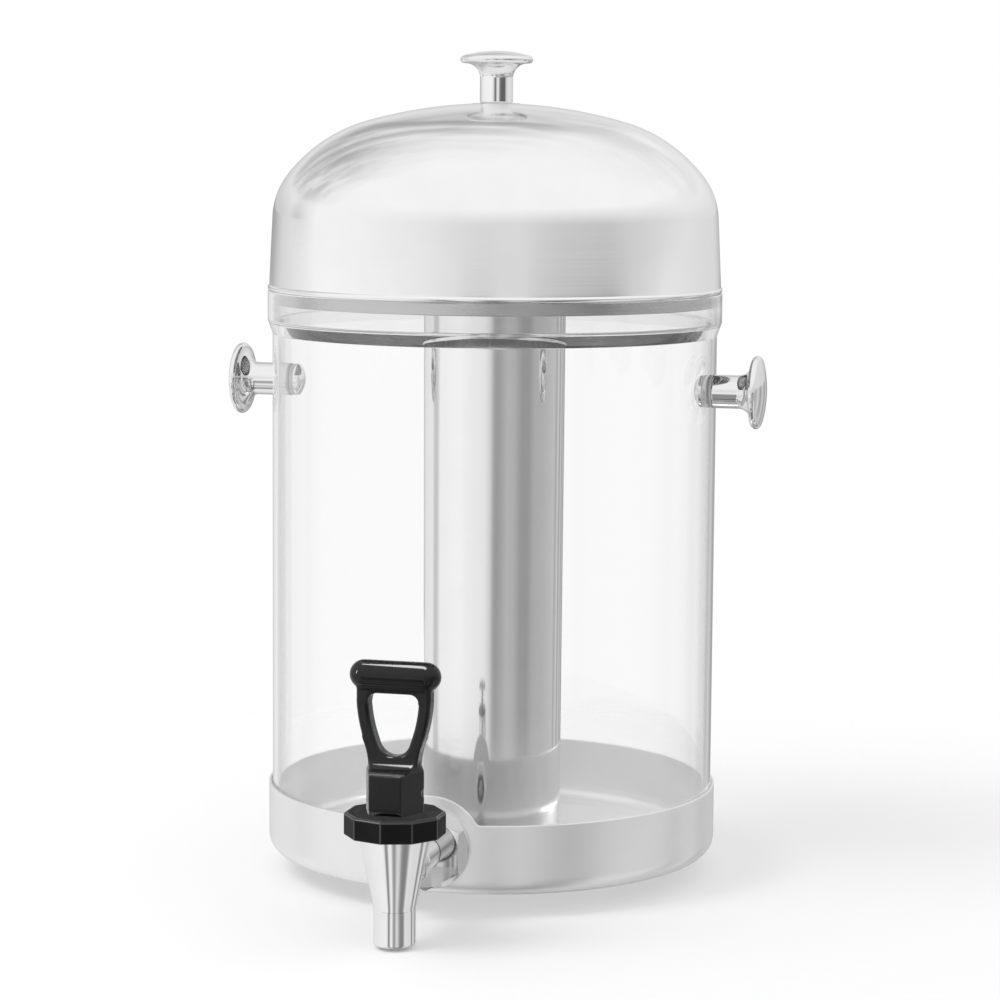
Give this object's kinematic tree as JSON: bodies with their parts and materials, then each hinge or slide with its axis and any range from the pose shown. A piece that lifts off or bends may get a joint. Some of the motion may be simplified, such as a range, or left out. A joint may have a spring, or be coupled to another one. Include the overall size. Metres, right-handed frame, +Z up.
{
  "type": "beverage dispenser",
  "caption": "Round clear drink dispenser in a steel tray, with a domed steel lid, a steel ice tube inside, side knobs and a self-closing lever tap.",
  "frame": {"origin": "centre of the tray's flat underside", "axes": "+Z up, the tap points along -Y, the side handles along X"},
  "size_m": [0.274, 0.3078, 0.4083],
  "materials": {
    "polished_steel": "mirror polished, spun",
    "chrome": "bright chrome",
    "satin_steel": "satin",
    "spring_steel": "drawn wire",
    "clear_plastic": "clear, glossy",
    "black_plastic": "glossy moulded",
    "silicone": "soft matte",
    "dark_rubber": "soft matte"
  },
  "bodies": {
    "tank": {"base_tray": "satin_steel", "container": "clear_plastic", "left_handle": "chrome", "right_handle": "chrome", "handle_seals": "dark_rubber", "handle_screws": "chrome", "tap_body": "chrome", "tap_saddle_washer": "chrome", "tap_lock_nut": "chrome", "tap_inner_gasket": "silicone", "tap_inner_nut": "satin_steel", "tap_bonnet": "black_plastic", "bonnet_gasket": "silicone", "tap_spring": "spring_steel"},
    "valve_stem": {"tap_stem": "satin_steel", "tap_seat_cup": "silicone", "tap_pivot_pin": "satin_steel"},
    "lever": {"tap_handle": "black_plastic"},
    "ice_tube": {"ice_tube": "polished_steel", "ice_tube_base": "satin_steel", "ice_tube_foot": "silicone"},
    "lid": {"lid_dome": "polished_steel", "lid_knob": "chrome", "lid_knob_washer": "satin_steel", "lid_knob_screw": "satin_steel"}
  },
  "joints": [
    {"name": "lid_lift", "type": "slide", "parent": "tank", "child": "lid", "axis": [0, 0, 1], "range_m": [0, 0.12]},
    {"name": "ice_tube_lift", "type": "slide", "parent": "tank", "child": "ice_tube", "axis": [0, 0, 1], "range_m": [0, 0.06]},
    {"name": "stem_lift", "type": "slide", "parent": "tank", "child": "valve_stem", "axis": [0, 0, 1], "range_m": [0, 0.0076], "deforming": ["tap_spring"]},
    {"name": "lever_tilt", "type": "hinge", "parent": "valve_stem", "child": "lever", "pos_m": [0, -0.1715, 0.0629], "axis": [1, 0, 0], "range_deg": [0, 30], "stiffness_Nm_per_rad": 0.12, "springref_deg": -32.09}
  ],
  "couplings": [
    {"joint": "stem_lift", "follows": "lever_tilt", "m_per_rad": 0.0142}
  ]
}
